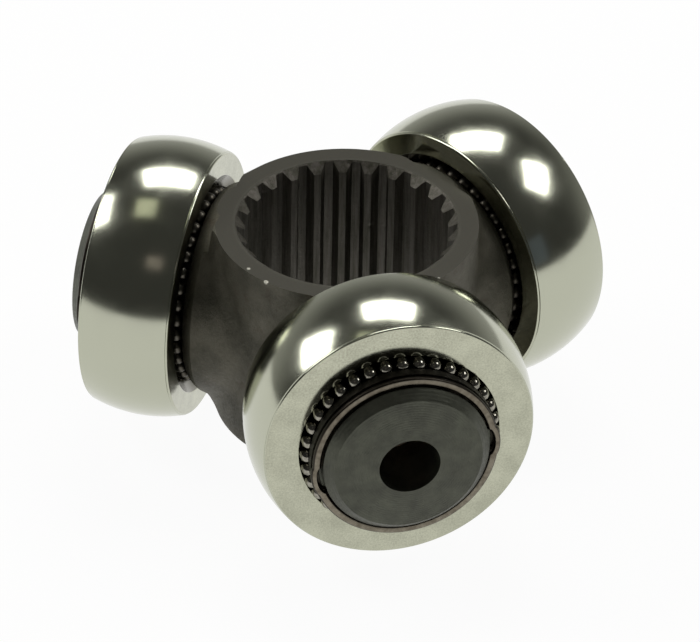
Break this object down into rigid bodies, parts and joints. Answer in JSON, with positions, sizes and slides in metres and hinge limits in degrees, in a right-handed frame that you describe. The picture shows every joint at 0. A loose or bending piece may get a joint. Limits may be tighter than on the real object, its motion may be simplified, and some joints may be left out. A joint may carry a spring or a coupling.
{
  "type": "tripod joint spider with rollers",
  "caption": "Splined tripod hub of a drive shaft joint, whose arms carry spherical rollers that turn and slide on needle bearings.",
  "frame": {"origin": "centre of the hub's splined bore, halfway between its end faces, where the three trunnion axes meet", "axes": "+Z along the hub's bore axis, the front trunnion along -Y, the right one 30 degrees from +X towards +Y, the left one 150 degrees from +X"},
  "size_m": [0.0667, 0.0619, 0.035],
  "materials": {
    "forged_steel": "dark phosphated forging",
    "bearing_steel": "polished sphere, ground faces",
    "needle_steel": "ground",
    "washer_steel": "dark oiled",
    "spring_steel": "tempered brown grey"
  },
  "bodies": {
    "spider": {"spider_hub": "forged_steel", "front_snap_ring": "spring_steel", "right_snap_ring": "spring_steel", "left_snap_ring": "spring_steel"},
    "front_needles": {"front_needle_rollers": "needle_steel"},
    "front_washer": {"front_retainer_washer": "washer_steel"},
    "front_roller": {"front_roller": "bearing_steel"},
    "right_needles": {"right_needle_rollers": "needle_steel"},
    "right_washer": {"right_retainer_washer": "washer_steel"},
    "right_roller": {"right_roller": "bearing_steel"},
    "left_needles": {"left_needle_rollers": "needle_steel"},
    "left_washer": {"left_retainer_washer": "washer_steel"},
    "left_roller": {"left_roller": "bearing_steel"}
  },
  "joints": [
    {"name": "front_roller_spin", "type": "hinge", "parent": "spider", "child": "front_washer", "pos_m": [0, 0, 0], "axis": [0, -1, 0], "continuous": true},
    {"name": "front_roller_slide", "type": "slide", "parent": "front_washer", "child": "front_roller", "axis": [0, -1, 0], "range_m": [-0.0004, 0.0025]},
    {"name": "front_needle_orbit", "type": "hinge", "parent": "spider", "child": "front_needles", "pos_m": [0, 0, 0], "axis": [0, -1, 0], "continuous": true},
    {"name": "right_roller_spin", "type": "hinge", "parent": "spider", "child": "right_washer", "pos_m": [0, 0, 0], "axis": [0.866, 0.5, 0], "continuous": true},
    {"name": "right_roller_slide", "type": "slide", "parent": "right_washer", "child": "right_roller", "axis": [0.866, 0.5, 0], "range_m": [-0.0013, 0.0016]},
    {"name": "right_needle_orbit", "type": "hinge", "parent": "spider", "child": "right_needles", "pos_m": [0, 0, 0], "axis": [0.866, 0.5, 0], "continuous": true},
    {"name": "left_roller_spin", "type": "hinge", "parent": "spider", "child": "left_washer", "pos_m": [0, 0, 0], "axis": [-0.866, 0.5, 0], "continuous": true},
    {"name": "left_roller_slide", "type": "slide", "parent": "left_washer", "child": "left_roller", "axis": [-0.866, 0.5, 0], "range_m": [-0.0019, 0.001]},
    {"name": "left_needle_orbit", "type": "hinge", "parent": "spider", "child": "left_needles", "pos_m": [0, 0, 0], "axis": [-0.866, 0.5, 0], "continuous": true}
  ],
  "couplings": [
    {"joint": "front_needle_orbit", "follows": "front_roller_spin", "ratio": 0.544},
    {"joint": "right_needle_orbit", "follows": "right_roller_spin", "ratio": 0.544},
    {"joint": "left_needle_orbit", "follows": "left_roller_spin", "ratio": 0.544}
  ]
}
